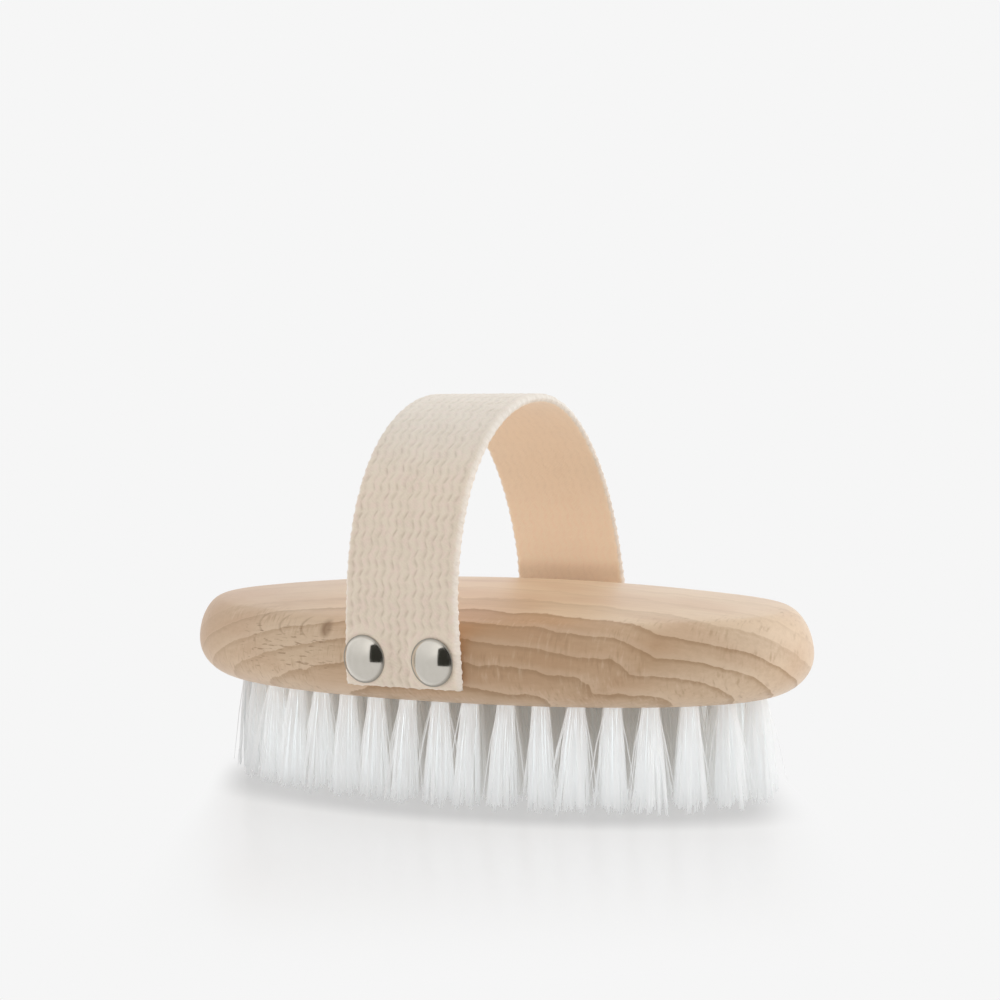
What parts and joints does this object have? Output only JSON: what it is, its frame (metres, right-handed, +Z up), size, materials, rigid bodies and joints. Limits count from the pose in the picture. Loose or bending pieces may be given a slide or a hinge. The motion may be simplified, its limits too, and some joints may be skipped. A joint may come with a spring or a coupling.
{
  "type": "body brush",
  "caption": "Oval wooden body brush: trimmed nylon tufts in its flat underside and a webbing hand strap nailed across its crowned back.",
  "frame": {"origin": "on the table under the middle of the block, in the plane of the bristle tips", "axes": "+X along the block's length, +Y across it, -Y being the long side nearest the camera in the picture, +Z up from the bristle tips to the hand strap"},
  "size_m": [0.14, 0.0756, 0.08],
  "materials": {
    "beech": "satin, fine sanded",
    "webbing": "matte woven cotton",
    "nickel": "polished nickel plate",
    "nylon": "soft gloss filament"
  },
  "bodies": {
    "root": {"beech_block": "beech", "hand_strap": "webbing", "strap_nail_front_left": "nickel", "strap_nail_front_right": "nickel", "strap_nail_back_left": "nickel", "strap_nail_back_right": "nickel", "bristle_ring_1": "nylon", "bristle_ring_2": "nylon", "bristle_ring_3": "nylon", "bristle_middle_row": "nylon"}
  },
  "joints": []
}
